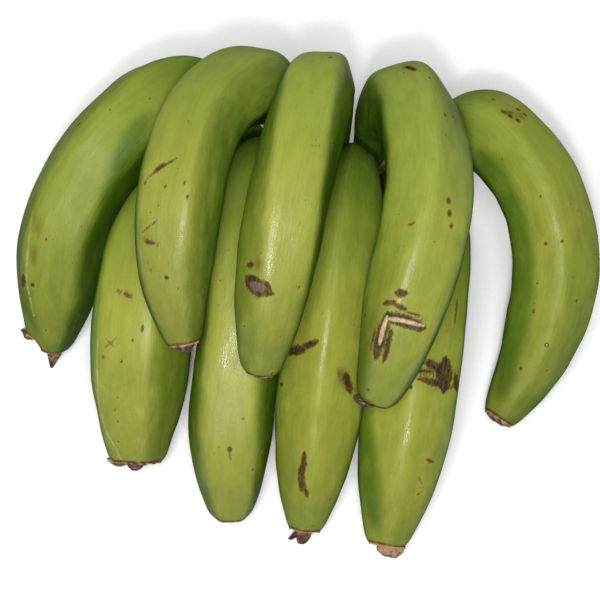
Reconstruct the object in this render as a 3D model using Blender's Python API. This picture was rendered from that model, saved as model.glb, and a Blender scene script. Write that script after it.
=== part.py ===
"""A hand of nine green bananas grown together at one crown.

The hand lies crown down, with its tips forward. Lengths here are millimetres until they reach a mesh,
+X is to the right, +Y to the back and +Z up. Every fruit is a five-ridged loft along its own curve.
"""

from dataclasses import dataclass

import bmesh
import bpy
import numpy as np

MM = 0.001

# Fruit
PEDICEL_RADIUS = 6.8
NECK_SHARE = 0.07
TAPER_START = 0.70
FACE_DIP = 0.075
ROUND_SHARE = 0.22
FRUIT_SIDES = 20
FRUIT_RINGS = 24

# Crown, which the two rows of necks grow from
CROWN_CENTRE = (14.0, 49.5)
CROWN_HALF_LENGTH = 43.0
CROWN_HALF_DEPTH = 21.0
CROWN_TOP = 13.0
CROWN_SQUARENESS = 2.6
CROWN_SIDES = 40
UPPER_ROOT = 21.0
LOWER_ROOT = 15.0
STUB_FOOT = 6.0
STUB_FOOT_RADIUS = 10.2
STUB_TOP_RADIUS = 7.1

# Dried flower ends
END_SIDES = 12
END_SHARE = 0.9
PRONG = ((0.6, 2.0), (3.4, 1.5), (5.6, 0.7))
PRONG_LEAN = (-0.95, 0.15)
GAP = 0.3
TABLE_CLEARANCE = 0.2


@dataclass(frozen=True)
class Fruit:
    """Guide points from crown to tip in millimetres, and the girth that is wrapped round them."""

    root: tuple
    neck: tuple
    shoulder: tuple
    back: tuple
    middle: tuple
    belly: tuple
    tip: tuple
    body_radius: float
    end_radius: float
    full_share: float
    ridge_degrees: float

    def guides(self):
        points = (self.root, self.neck, self.shoulder, self.back, self.middle, self.belly, self.tip)
        return np.array(points, float)


FRUITS = {
    "finger_upper_1": Fruit((-16, 57, UPPER_ROOT), (-27, 64, 38), (-42, 69, 52), (-73, 47, 59), (-96, 12, 41),
                            (-99, -8, 22), (-103, -23, 7), 18.6, 10.2, 0.36, 62),
    "finger_upper_2": Fruit((-1, 58, UPPER_ROOT), (-7, 65, 46), (-18, 63, 68), (-37, 37, 86), (-45, 3, 90),
                            (-47, -27, 75), (-44, -47, 63), 17.2, 7.0, 0.38, 5),
    "finger_upper_3": Fruit((14, 57, UPPER_ROOT), (14, 62, 48), (10, 58, 76), (3, 29, 91), (-4, -2, 92),
                            (-10, -32, 78), (-15, -59, 60), 16.6, 7.4, 0.36, 50),
    "finger_upper_4": Fruit((29, 57, UPPER_ROOT), (31, 60, 46), (39, 58, 68), (47, 27, 85), (48, 0, 88),
                            (40, -36, 78), (27, -69, 60), 17.4, 7.8, 0.34, 16),
    "finger_upper_5": Fruit((44, 57, UPPER_ROOT), (56, 58, 36), (71, 57, 45), (91, 39, 48), (103, 5, 37),
                            (95, -31, 17), (80, -55, 6), 17.4, 7.2, 0.26, 28),
    "finger_lower_1": Fruit((-10, 42, LOWER_ROOT), (-25, 39, 31), (-42, 31, 40), (-58, 2, 45), (-63, -28, 39),
                            (-64, -55, 24), (-65, -76, 8), 19.2, 11.4, 0.46, 8),
    "finger_lower_2": Fruit((6, 41, LOWER_ROOT), (2, 42, 34), (-8, 38, 47), (-19, 7, 54), (-22, -27, 48),
                            (-27, -65, 28), (-27, -97, 6), 16.9, 8.0, 0.40, 60),
    "finger_lower_3": Fruit((21, 41, LOWER_ROOT), (21, 42, 34), (21, 38, 47), (16, 7, 54), (11, -27, 48),
                            (6, -65, 28), (2, -101, 5.5), 16.3, 7.4, 0.38, 18),
    "finger_lower_4": Fruit((37, 41, LOWER_ROOT), (40, 38, 33), (47, 31, 43), (49, -1, 48), (47, -32, 40),
                            (41, -71, 23), (34, -108, 7), 18.8, 8.4, 0.36, 28),
}


@dataclass(frozen=True)
class FlowerEnd:
    """Steps of (height, radius) in millimetres above the scar pad, and the stub's sideways lean.

    The lean is millimetres to the right and up for each millimetre of height.
    """

    profile: tuple
    lean: tuple = (0.0, 0.0)
    second_prong: bool = False


FLOWER_ENDS = {
    "finger_upper_1": FlowerEnd(((1.6, 3.4), (4.0, 2.6), (7.5, 1.4), (9.5, 0.5)), (0.10, -0.05)),
    "finger_upper_2": FlowerEnd(((1.2, 3.6), (2.6, 2.8), (4.2, 1.2)), (0.15, -0.20)),
    "finger_upper_3": FlowerEnd(((0.9, 2.4), (1.4, 1.0))),
    "finger_upper_4": FlowerEnd(((1.2, 4.6), (2.4, 2.6)), (-0.60, -0.20)),
    "finger_upper_5": FlowerEnd(((1.3, 4.4), (2.2, 2.6))),
    "finger_lower_1": FlowerEnd(((1.5, 3.4), (3.4, 2.2), (4.4, 1.0)), (-0.35, 0.0)),
    "finger_lower_2": FlowerEnd(((0.9, 3.0), (1.4, 1.4))),
    "finger_lower_3": FlowerEnd(((1.4, 3.2), (3.4, 2.6), (5.6, 2.2), (6.8, 1.0)), (-0.10, 0.0), True),
    "finger_lower_4": FlowerEnd(((1.4, 5.4), (3.6, 4.6), (5.2, 2.6)), (0.15, 0.0)),
}


def clear_scene():
    for item in list(bpy.data.objects):
        bpy.data.objects.remove(item, do_unlink=True)


def new_collection(name):
    collection = bpy.data.collections.new(name)
    bpy.context.scene.collection.children.link(collection)
    return collection


def new_material(name, colour, roughness):
    material = bpy.data.materials.new(name)
    material.use_nodes = True
    shader = material.node_tree.nodes["Principled BSDF"]
    shader.inputs["Base Color"].default_value = (*colour, 1.0)
    shader.inputs["Roughness"].default_value = roughness
    shader.inputs["Metallic"].default_value = 0.0
    material.diffuse_color = (*colour, 1.0)
    return material


def ease(x):
    x = np.clip(x, 0.0, 1.0)
    return x * x * (3.0 - 2.0 * x)


def centreline(guides, count):
    """Smooth curve through the guides, leaving the crown straight up, at even steps of its length."""
    spans = np.linalg.norm(np.diff(guides, axis=0), axis=1)
    slopes = np.diff(guides, axis=0) / spans[:, None]
    weight = (spans[1:] / (spans[1:] + spans[:-1]))[:, None]
    tangents = np.empty_like(guides)
    tangents[1:-1] = slopes[:-1] * weight + slopes[1:] * (1.0 - weight)
    tangents[0] = (0.0, 0.0, 1.0)
    tangents[-1] = 1.5 * slopes[-1] - 0.5 * tangents[-2]
    knots = np.concatenate(([0.0], np.cumsum(spans)))
    at = np.linspace(0.0, knots[-1], 400)
    i = np.clip(np.searchsorted(knots, at, side="right") - 1, 0, len(spans) - 1)
    span = spans[i][:, None]
    s = ((at - knots[i]) / spans[i])[:, None]
    dense = (2 * s**3 - 3 * s**2 + 1) * guides[i] + (s**3 - 2 * s**2 + s) * span * tangents[i]
    dense += (3 * s**2 - 2 * s**3) * guides[i + 1] + (s**3 - s**2) * span * tangents[i + 1]
    run = np.concatenate(([0.0], np.cumsum(np.linalg.norm(np.diff(dense, axis=0), axis=1))))
    even = np.linspace(0.0, run[-1], count)
    return np.stack([np.interp(even, run, dense[:, axis]) for axis in range(3)], axis=1)


def frames(path):
    """Tangent, side and top directions carried along the path without twist."""
    tangents = np.gradient(path, axis=0)
    tangents[0] = (0.0, 0.0, 1.0)
    tangents /= np.linalg.norm(tangents, axis=1)[:, None]
    sides = np.empty_like(path)
    side = np.array([1.0, 0.0, 0.0])
    for k, tangent in enumerate(tangents):
        side = side - tangent * (side @ tangent)
        side /= np.linalg.norm(side)
        sides[k] = side
    return tangents, sides, np.cross(tangents, sides)


def fruit_radius(fruit, t):
    """Slim neck, full body, and a taper to the blunt end."""
    swell = ease((t - NECK_SHARE) / (fruit.full_share - NECK_SHARE))
    radius = PEDICEL_RADIUS + (fruit.body_radius - PEDICEL_RADIUS) * swell
    late = np.clip((t - TAPER_START) / (1.0 - TAPER_START), 0.0, 1.0)
    return radius * (1.0 - (1.0 - fruit.end_radius / fruit.body_radius) * late**2)


def fruit_rings(fruit):
    """Rings of points: round on the neck, then a rounded pentagon whose faces dip between the ridges."""
    path = centreline(fruit.guides(), FRUIT_RINGS)
    tangents, sides, tops = frames(path)
    t = np.linspace(0.0, 1.0, FRUIT_RINGS)
    angle = np.linspace(0.0, 2.0 * np.pi, FRUIT_SIDES, endpoint=False)
    dip = FACE_DIP * ease(t / ROUND_SHARE)
    wave = (1.0 - np.cos(5.0 * (angle - np.radians(fruit.ridge_degrees)))) / 2.0
    radius = fruit_radius(fruit, t)[:, None] * (1.0 - dip[:, None] * wave)
    across = np.cos(angle)[None, :, None] * sides[:, None] + np.sin(angle)[None, :, None] * tops[:, None]
    return path[:, None] + radius[..., None] * across


def loft(name, rings):
    """Closed body through rings of equal count, with flat caps."""
    count = rings.shape[1]
    mesh = bmesh.new()
    rows = [[mesh.verts.new(point * MM) for point in ring] for ring in rings]
    for low, high in zip(rows[:-1], rows[1:]):
        for j in range(count):
            k = (j + 1) % count
            mesh.faces.new((low[j], low[k], high[k], high[j]))
    mesh.faces.new(rows[0])
    mesh.faces.new(rows[-1])
    bmesh.ops.recalc_face_normals(mesh, faces=mesh.faces)
    data = bpy.data.meshes.new(name)
    mesh.to_mesh(data)
    mesh.free()
    return bpy.data.objects.new(name, data)


def flatten_below(item, height):
    """Cut a body off at a level plane, which leaves a small flat where it would press on the table."""
    mesh = bmesh.new()
    mesh.from_mesh(item.data)
    everything = mesh.verts[:] + mesh.edges[:] + mesh.faces[:]
    bmesh.ops.bisect_plane(mesh, geom=everything, dist=0.00001, plane_co=(0, 0, height * MM),
                           plane_no=(0, 0, 1), clear_inner=True)
    rim = [edge for edge in mesh.edges if edge.is_boundary]
    if rim:
        bmesh.ops.contextual_create(mesh, geom=rim)
    bmesh.ops.recalc_face_normals(mesh, faces=mesh.faces)
    mesh.to_mesh(item.data)
    mesh.free()


def smooth_shading(item, degrees=40.0):
    item.data.shade_smooth()
    item.data.set_sharp_from_angle(angle=np.radians(degrees))


def add_part(item, collection, material):
    collection.objects.link(item)
    item.data.materials.append(material)
    return item


def build_fruit(name, fruit, collection, skin):
    item = add_part(loft(name, fruit_rings(fruit)), collection, skin)
    flatten_below(item, 0.0)
    smooth_shading(item)
    return item


def end_frame(fruit):
    """Centre of the fruit's end, with its outward, right and upward directions."""
    path = centreline(fruit.guides(), FRUIT_RINGS)
    tangents, sides, tops = frames(path)
    return path[-1], tangents[-1], sides[-1], tops[-1]


def end_rings(fruit, profile, lean, sides):
    """Rings over the fruit's end for a profile of (height, radius) steps."""
    centre, out, right, up = end_frame(fruit)
    angle = np.linspace(0.0, 2.0 * np.pi, sides, endpoint=False)
    rings = []
    for height, radius in profile:
        middle = centre + out * (GAP + height) + (right * lean[0] + up * lean[1]) * height
        uneven = radius * (1.0 + 0.07 * np.sin(3.0 * angle + height))
        spoke = np.cos(angle)[:, None] * right + np.sin(angle)[:, None] * up
        rings.append(middle + uneven[:, None] * spoke)
    return np.array(rings)


def build_flower_end(name, fruit, collection, cutters, dry):
    end = FLOWER_ENDS[name]
    rim = END_SHARE * fruit.end_radius
    pad = ((0.0, rim - 0.4), (0.5, rim), (0.9, rim - 0.9))
    rings = end_rings(fruit, pad + end.profile, end.lean, END_SIDES)
    item = loft(name.replace("finger", "flower_end"), rings)
    add_part(item, collection, dry)
    flatten_below(item, TABLE_CLEARANCE)
    if end.second_prong:
        prong = loft("second_prong", end_rings(fruit, PRONG, PRONG_LEAN, 8))
        add_cutter(prong, cutters)
        join_with(item, prong)
    smooth_shading(item)
    return item


def add_cutter(item, cutters):
    cutters.objects.link(item)
    item.hide_render = True
    item.display_type = "WIRE"


def join_with(item, other):
    union = item.modifiers.new("join_" + other.name, "BOOLEAN")
    union.operation = "UNION"
    union.solver = "EXACT"
    union.object = other


def crown_rings():
    """Cushion outline at a few heights, from the cut face up to the rounded top."""
    angle = np.linspace(0.0, 2.0 * np.pi, CROWN_SIDES, endpoint=False)
    power = 2.0 / CROWN_SQUARENESS
    x = np.sign(np.cos(angle)) * np.abs(np.cos(angle)) ** power * CROWN_HALF_LENGTH
    y = np.sign(np.sin(angle)) * np.abs(np.sin(angle)) ** power * CROWN_HALF_DEPTH
    rings = []
    for height, size in ((0.0, 0.94), (1.5, 0.98), (6.0, 1.0), (10.0, 0.96), (12.2, 0.90), (CROWN_TOP, 0.84)):
        inset = (1.0 - size) * CROWN_HALF_DEPTH
        ring_x = CROWN_CENTRE[0] + x * (1.0 - inset / CROWN_HALF_LENGTH)
        ring_y = CROWN_CENTRE[1] + y * size
        rings.append(np.stack([ring_x, ring_y, np.full(CROWN_SIDES, height)], axis=1))
    return np.array(rings)


def build_crown(collection, cutters, skin):
    crown = add_part(loft("crown", crown_rings()), collection, skin)
    angle = np.linspace(0.0, 2.0 * np.pi, FRUIT_SIDES, endpoint=False)
    for name, fruit in FRUITS.items():
        x, y, root = fruit.root
        rings = []
        for height, radius in ((STUB_FOOT, STUB_FOOT_RADIUS), (root - GAP, STUB_TOP_RADIUS)):
            circle = (x + radius * np.cos(angle), y + radius * np.sin(angle), np.full(FRUIT_SIDES, height))
            rings.append(np.stack(circle, axis=1))
        stub = loft(name.replace("finger", "stub"), np.array(rings))
        add_cutter(stub, cutters)
        join_with(crown, stub)
    smooth_shading(crown)
    return crown


def centre_over_origin(collection, cutters):
    """Move every mesh so that the whole hand's box is centred over the origin."""
    bpy.context.view_layer.update()
    corners = []
    for item in collection.objects:
        points = np.empty(len(item.data.vertices) * 3, dtype=np.float32)
        item.data.vertices.foreach_get("co", points)
        corners.append(points.reshape(-1, 3))
    corners = np.concatenate(corners)
    middle = (corners.min(axis=0) + corners.max(axis=0)) / 2.0
    for item in list(collection.objects) + list(cutters.objects):
        points = np.empty(len(item.data.vertices) * 3, dtype=np.float32)
        item.data.vertices.foreach_get("co", points)
        points = points.reshape(-1, 3) - (middle[0], middle[1], 0.0)
        item.data.vertices.foreach_set("co", points.astype(np.float32).ravel())
        item.data.update()


def main():
    clear_scene()
    collection = new_collection("banana_hand")
    cutters = new_collection("cutters")
    skin = new_material("green_skin", (0.23, 0.34, 0.05), 0.38)
    crown_skin = new_material("crown_skin", (0.26, 0.30, 0.08), 0.6)
    dry = new_material("dried_flower", (0.10, 0.06, 0.035), 0.85)
    build_crown(collection, cutters, crown_skin)
    for name, fruit in FRUITS.items():
        build_fruit(name, fruit, collection, skin)
        build_flower_end(name, fruit, collection, cutters, dry)
    centre_over_origin(collection, cutters)


main()
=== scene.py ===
"""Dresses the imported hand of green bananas: fine fruit surfaces, crown, dried flower ends, studio."""

import logging
from dataclasses import dataclass, field
from enum import Enum

import bpy
import numpy as np
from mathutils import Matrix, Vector


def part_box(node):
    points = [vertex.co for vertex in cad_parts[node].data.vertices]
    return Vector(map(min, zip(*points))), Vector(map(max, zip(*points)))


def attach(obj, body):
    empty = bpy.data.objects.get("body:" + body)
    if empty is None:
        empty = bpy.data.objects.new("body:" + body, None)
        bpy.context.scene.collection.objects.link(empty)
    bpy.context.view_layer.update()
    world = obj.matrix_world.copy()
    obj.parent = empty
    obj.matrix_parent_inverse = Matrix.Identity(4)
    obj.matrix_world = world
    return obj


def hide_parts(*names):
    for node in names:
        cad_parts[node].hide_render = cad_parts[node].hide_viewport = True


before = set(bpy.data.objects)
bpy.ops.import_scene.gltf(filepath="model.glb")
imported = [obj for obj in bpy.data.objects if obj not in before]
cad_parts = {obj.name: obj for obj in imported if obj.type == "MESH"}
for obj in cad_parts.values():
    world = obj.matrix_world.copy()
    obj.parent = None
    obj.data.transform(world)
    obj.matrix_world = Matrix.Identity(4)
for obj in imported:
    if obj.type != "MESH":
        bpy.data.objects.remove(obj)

LOG = logging.getLogger("banana_hand")
MM = 0.001

# Crown's centre in the fruit guides' own millimetres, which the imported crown's box gives in metres
CROWN_CENTRE = (14.0, 49.5)

# Heights in millimetres at which each row's necks leave the crown
UPPER_ROOT = 21.0
LOWER_ROOT = 15.0


class MarkKind(Enum):
    """What a blemish on the skin looks like, or a stripe of painted shade."""

    DARK = "dark"
    SCAB = "scab"
    CORK = "cork"
    SMUDGE = "smudge"
    PEPPER = "pepper"
    PALE = "pale"
    GREY = "grey"
    PAINTED_SHADE = "shade"


@dataclass(frozen=True)
class Mark:
    """A blemish or a painted shade stripe: a stroke through pixels of the photograph's 600 by 600 frame, and
    its width in mm.
    """

    kind: MarkKind
    points: tuple[tuple[float, float], ...]
    width: float


def drawn(**rows: tuple[tuple[float, ...], ...]) -> tuple[Mark, ...]:
    """The marks on one fruit.

    Args:
        rows: For each kind its marks, each a width and then its points' pixels right and down in turn.

    Returns:
        The marks.
    """
    return tuple(Mark(MarkKind(kind), tuple(zip(row[1::2], row[2::2])), row[0])
                 for kind, marks in rows.items() for row in marks)


@dataclass(frozen=True)
class Stub:
    """A dried flower remnant: its steps of height and radius, lean and place, in millimetres."""

    profile: tuple[tuple[float, float], ...]
    lean: tuple[float, float] = (0.0, 0.0)
    place: tuple[float, float] = (0.0, 0.0)


@dataclass(frozen=True)
class Fruit:
    """One fruit: its guide points from crown to tip and its girths in millimetres, and how its skin looks.

    Its full_share, taper_start, neck_green_and_shade_end and ripe_from are shares of its length. The short_side is
    the degrees round the fruit where its end falls short, and by how many millimetres. The shine is the
    share of the length where the wax shines, its spread and its strength.
    """

    guides: tuple[tuple[float, float, float], ...]
    body_radius: float
    end_radius: float
    full_share: float
    ridge_degrees: float
    seed: int
    stubs: tuple[Stub, ...]
    pad_tan: float = 0.4
    pad_height: float = 0.8
    short_side: tuple[float, float] = (0.0, 0.0)
    ridge_twist: float = 0.0
    taper_start: float = 0.70
    tip_power: float = 4.4
    lip: float = 0.07
    ripeness: float = 0.6
    wax: float = 1.0
    # Share where the darker neck green ends: partly the neck's own green, partly painted shade where the
    # fruits above shade the lower ones
    neck_green_and_shade_end: float = 0.36
    ripe_from: float = 0.36
    shine: tuple[float, float, float] = (0.72, 0.10, 0.6)
    # Painted light and shade: a brightness factor for this fruit's whole skin
    painted_light_and_shade: float = 1.0


FRUITS: dict[str, Fruit] = {
    "upper_1": Fruit(
        ((-16, 57, UPPER_ROOT), (-27, 64, 38), (-43, 70, 53), (-71.2, 45.5, 60), (-94.9, 12.5, 41),
         (-99.7, -8, 22), (-104.2, -23, 7)),
        18.7, 10.6, 0.40, 24, 11,
        (Stub(((1.6, 3.4), (4.0, 2.6), (7.5, 1.4), (9.5, 0.5)), (0.10, -0.05), (-1.0, -3.6)),
         Stub(((-3.2, 3.4), (-2.2, 2.8), (-1.2, 1.2)), (0.0, 0.0), (3.4, 6.2))),
        short_side=(62.0, 5.0), taper_start=0.76, tip_power=6.4, wax=0.25, neck_green_and_shade_end=0.50,
        shine=(0.78, 0.05, 1.2), painted_light_and_shade=0.91),
    "upper_2": Fruit(
        ((-1, 58, UPPER_ROOT), (-7, 65, 46), (-18, 63, 68), (-37, 37, 86), (-45, 3, 90), (-47, -27, 75),
         (-44, -47, 63)),
        17.2, 7.0, 0.31, 23, 12, (Stub(((1.2, 3.6), (2.6, 2.8), (4.2, 1.2)), (0.15, -0.20)),),
        ridge_twist=-10.0, ripeness=0.75, shine=(0.80, 0.04, 1.1), painted_light_and_shade=0.93),
    "upper_3": Fruit(
        ((14, 57, UPPER_ROOT), (14, 62, 48), (9, 59, 76.5), (1.8, 29, 92.0), (-4, -2, 92), (-10, -32, 78),
         (-15, -57, 58)),
        16.3, 7.4, 0.43, 25, 13, (Stub(((0.9, 2.4), (1.4, 1.0))),),
        pad_height=0.4, pad_tan=0.2, ridge_twist=-70.0, lip=0.20, ripeness=0.85,
        shine=(0.72, 0.10, 1.0), painted_light_and_shade=1.01),
    "upper_4": Fruit(
        ((29, 57, UPPER_ROOT), (30.5, 60, 46), (40.5, 57, 66), (47.3, 27, 83.8), (48, 0, 88), (40, -36, 78),
         (28.5, -68, 55)),
        17.4, 7.8, 0.29, 43, 14, (Stub(((0.4, 4.6), (1.2, 3.4), (2.0, 1.4)), (-0.60, -0.20), (-4.0, 0.8)),),
        pad_height=0.2, pad_tan=0.0, ridge_twist=80.0, lip=0.26, shine=(0.70, 0.22, 0.7)),
    "upper_5": Fruit(
        ((44, 57, UPPER_ROOT), (56, 58, 36), (71, 57, 45), (89.7, 38, 48), (101.9, 5, 37), (94.7, -31, 17),
         (80, -55, 6)),
        18.3, 7.2, 0.26, 28, 15, (Stub(((1.3, 4.4), (2.2, 2.6))),),
        taper_start=0.63, wax=0.2, neck_green_and_shade_end=0.30, ripe_from=0.15, shine=(0.50, 0.12, 0.15),
        painted_light_and_shade=0.92),
    "lower_1": Fruit(
        ((-10, 42, LOWER_ROOT), (-25, 39, 31), (-42, 31, 40), (-57.2, 2, 45), (-62.6, -28, 39),
         (-64.3, -54, 20.5), (-65, -74.5, 9.5)),
        20.9, 11.4, 0.47, 8, 16,
        (Stub(((1.5, 3.4), (3.4, 2.2), (4.4, 1.0)), (-0.35, 0.0)),
         Stub(((1.0, 4.2), (2.0, 3.2), (2.8, 1.5)), (0.0, 0.0), (-4.4, 5.6))),
        tip_power=6.4, neck_green_and_shade_end=0.75, ripeness=0.85, ripe_from=0.20, shine=(0.75, 0.20, 0.12),
        painted_light_and_shade=1.05),
    "lower_2": Fruit(
        ((6, 41, LOWER_ROOT), (0, 43, 35), (-11, 37, 49), (-20, 7, 54), (-22.3, -27, 48), (-27, -65, 28),
         (-27, -97, 6)),
        17.6, 8.0, 0.31, 14, 17, (Stub(((0.9, 3.0), (1.4, 1.4))),),
        pad_height=0.4, ridge_twist=-40.0, taper_start=0.77, lip=0.16, neck_green_and_shade_end=0.60,
        ripeness=0.85, ripe_from=0.20, shine=(0.64, 0.032, 1.9), wax=0.8),
    "lower_3": Fruit(
        ((21, 41, LOWER_ROOT), (21, 42, 34), (21, 38, 47), (16.6, 7, 54), (11.9, -27, 48), (7.0, -65, 28),
         (2, -101, 5.5)),
        17.8, 7.4, 0.38, 13, 18,
        (Stub(((1.4, 3.2), (3.4, 2.6), (5.6, 2.2), (6.8, 1.0)), (-0.10, 0.0)),
         Stub(((0.6, 2.0), (3.4, 1.5), (5.6, 0.7)), (-0.95, 0.15))),
        taper_start=0.71, neck_green_and_shade_end=0.60, ripeness=0.85, ripe_from=0.20, shine=(0.60, 0.07, 0.25),
        wax=0.22),
    "lower_4": Fruit(
        ((37, 41, LOWER_ROOT), (40, 38, 33), (47, 31, 43), (48.6, -1, 48), (46.2, -32, 40), (40.2, -71, 23),
         (33.6, -108, 7)),
        19.1, 8.4, 0.36, 40, 19, (Stub(((1.4, 5.2), (3.6, 4.4), (5.0, 2.6)), (0.15, 0.0), (1.8, 0.0)),),
        pad_tan=1.0, neck_green_and_shade_end=0.60, ripeness=0.85, ripe_from=0.20, shine=(0.755, 0.03, 1.9),
        wax=0.28, painted_light_and_shade=1.02),
}


# Blemishes on each fruit, pale ridge lines that are partly painted highlight, and stripes of painted shade: a
# width in millimetres, then the pixels right and down of each point
MARKS: dict[str, tuple[Mark, ...]] = {
    "upper_1": drawn(
        dark=((1.0, 47, 239), (2.0, 33, 285), (1.4, 77, 318), (1.0, 46, 330), (0.8, 150, 99),
              (0.8, 110, 109), (0.8, 58, 157), (0.8, 20, 265)),
        scab=((2.8, 24, 275, 23, 286),),
        smudge=((3.6, 36, 219, 39, 230), (1.6, 34, 250, 33, 262), (2.4, 72, 333)),
        # pale: a light line on the ridge, partly scuffing and partly a painted highlight
        pale=((0.6, 33, 212, 30, 232, 28, 250, 27, 280, 30, 300, 34, 316),),
        shade=((5.9, 20, 225, 20, 270, 25, 303, 34, 326),
               (9.5, 146, 118, 126, 152, 114, 190, 104, 230, 94, 280)),
    ),
    "upper_2": drawn(
        dark=((1.0, 147, 179, 160, 168, 176, 159), (1.2, 145, 184), (1.2, 166, 186), (1.2, 185, 183),
              (1.2, 188, 196), (0.7, 143, 232, 158, 220), (1.6, 145, 240, 155, 243), (0.8, 150, 212),
              (2.0, 166, 278), (1.2, 142, 292), (1.2, 205, 290)),
        scab=((1.7, 155, 172, 165, 164),),
        pepper=((3.2, 144, 239, 158, 246), (1.6, 147, 262, 152, 272)),
    ),
    "upper_3": drawn(
        dark=((1.6, 330, 57), (0.6, 312, 146, 320, 147), (1.0, 245, 326), (1.0, 299, 288), (1.2, 272, 373)),
        scab=((2.4, 247, 266, 253, 265), (6.7, 246, 280, 257, 287, 270, 292), (2.4, 262, 291, 274, 294)),
        smudge=((2.8, 258, 263),),
        grey=((3.2, 250, 284, 265, 289),),
    ),
    "upper_4": drawn(
        dark=((1.0, 403, 73), (1.2, 430, 78), (1.6, 445, 115), (1.2, 453, 117), (2.4, 449, 200),
              (2.4, 449, 213), (2.0, 451, 225), (1.2, 409, 224, 415, 222), (1.7, 393, 304, 407, 311),
              (1.2, 376, 328, 370, 350), (0.8, 406, 312, 420, 316)),
        scab=((2.4, 405, 66, 415, 70), (2.8, 396, 293, 406, 294), (1.8, 384, 303, 395, 302),
              (4.3, 384, 316, 402, 321, 425, 328), (4.7, 387, 316, 381, 335, 376, 358),
              (2.4, 391, 330, 383, 362), (2.4, 353, 391, 358, 399, 368, 407)),
        cork=((1.3, 386, 318, 402, 321, 424, 327), (1.7, 387, 317, 383, 330, 379, 345)),
        pepper=((4.0, 402, 66, 418, 71), (3.6, 375, 330, 373, 352), (2.4, 395, 312, 424, 322)),
    ),
    "upper_5": drawn(
        dark=((0.7, 470, 94, 479, 94), (1.6, 493, 99), (2.0, 503, 112), (2.4, 510, 117), (2.0, 518, 110),
              (2.4, 518, 120), (2.0, 525, 115), (1.2, 541, 197), (1.6, 545, 243), (1.2, 562, 241),
              (1.2, 537, 284), (1.2, 577, 300), (2.0, 546, 345), (1.6, 521, 369), (1.2, 547, 370)),
        cork=((0.8, 547, 345),),
        smudge=((2.4, 512, 340, 519, 341),),
        pepper=((3.6, 500, 112, 527, 117),),
        shade=((11.9, 482, 155, 502, 188, 516, 230, 521, 270, 518, 310, 510, 350, 500, 392),),
    ),
    "lower_1": drawn(
        dark=((1.3, 124, 293, 131, 297), (0.8, 118, 290), (0.6, 105, 347, 116, 338),
              (0.6, 106, 338, 113, 346), (1.2, 132, 339), (1.4, 103, 357), (1.2, 121, 362), (1.0, 118, 398),
              (0.8, 115, 408, 115, 412), (1.0, 118, 422), (1.0, 118, 441)),
        pepper=((2.0, 116, 291, 136, 297),),
        # pale: a light line on the ridge, partly scuffing and partly a painted highlight
        pale=((0.6, 98, 340, 98, 380, 100, 410, 108, 435, 117, 450, 121, 459),),
        shade=((5.9, 103, 250, 96, 300, 92, 350, 92, 400, 100, 435, 110, 458),),
    ),
    "lower_2": drawn(
        dark=((1.2, 243, 419), (2.4, 230, 449), (0.8, 230, 453, 231, 460), (1.2, 268, 438), (1.2, 262, 455),
              (1.2, 252, 469)),
        smudge=((2.0, 236, 362),),
    ),
    "lower_3": drawn(
        dark=((2.0, 281, 385), (1.2, 372, 156)),
        scab=((3.6, 286, 352, 304, 350), (2.4, 300, 349, 318, 342), (3.6, 344, 374, 351, 392),
              (2.4, 305, 453, 302, 476), (3.0, 301, 466, 302, 490), (2.0, 303, 480, 307, 497)),
        smudge=((5.5, 340, 372, 350, 388), (2.0, 373, 158, 378, 180)),
        pepper=((3.2, 288, 351, 302, 349, 316, 343), (4.0, 338, 371, 350, 390)),
        pale=((2.0, 374, 149, 379, 151),),
    ),
    "lower_4": drawn(
        dark=((1.2, 457, 300, 455, 325), (1.4, 418, 372, 434, 371), (1.6, 411, 388),
              (1.6, 427, 460, 433, 462), (0.8, 418, 476, 422, 484), (1.2, 418, 494)),
        scab=((4.7, 436, 372, 448, 380), (3.6, 426, 363, 444, 370), (7.1, 445, 359, 446, 375, 444, 391),
              (2.8, 420, 379, 444, 386), (3.2, 455, 375, 457, 391)),
        pepper=((10.3, 420, 368, 440, 375, 458, 382),),
        shade=((10.3, 363, 400, 365, 440, 369, 480, 374, 520),),
    ),
}


def ease(x: np.ndarray) -> np.ndarray:
    """Smooth step: three x squared less two x cubed, held between nought and one."""
    x = np.clip(x, 0.0, 1.0)
    return x * x * (3.0 - 2.0 * x)


def round_circle(count: int) -> np.ndarray:
    """Evenly spaced angles in radians, once round from nought."""
    return np.linspace(0.0, 2.0 * np.pi, count, endpoint=False)


def frame_shift() -> np.ndarray:
    """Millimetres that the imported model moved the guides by, from where its crown lies."""
    low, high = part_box("crown")
    middle = (np.array(low) + np.array(high)) / (2.0 * MM)
    return np.array([middle[0] - CROWN_CENTRE[0], middle[1] - CROWN_CENTRE[1], 0.0])


def wavy(points: np.ndarray, wavelength: float, seed: int, waves: int = 12) -> np.ndarray:
    """Smooth seeded noise: the mean of sine waves in random directions, each of about one wavelength.

    Args:
        points: Places in millimetres, with the three axes last.
        wavelength: Length of a wave in millimetres.
        seed: Start of the random draw.
        waves: How many waves are summed.

    Returns:
        A value of about -1 to 1 for each place.
    """
    rng = np.random.default_rng(seed)
    directions = rng.normal(size=(waves, 3))
    directions /= np.linalg.norm(directions, axis=1)[:, None]
    lengths = wavelength * rng.uniform(0.7, 1.4, waves)
    phases = rng.uniform(0.0, 2.0 * np.pi, waves)
    turns = points @ (directions * (2.0 * np.pi / lengths)[:, None]).T + phases
    return np.sin(turns).sum(axis=-1) * np.sqrt(2.0 / waves) * 0.6


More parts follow.
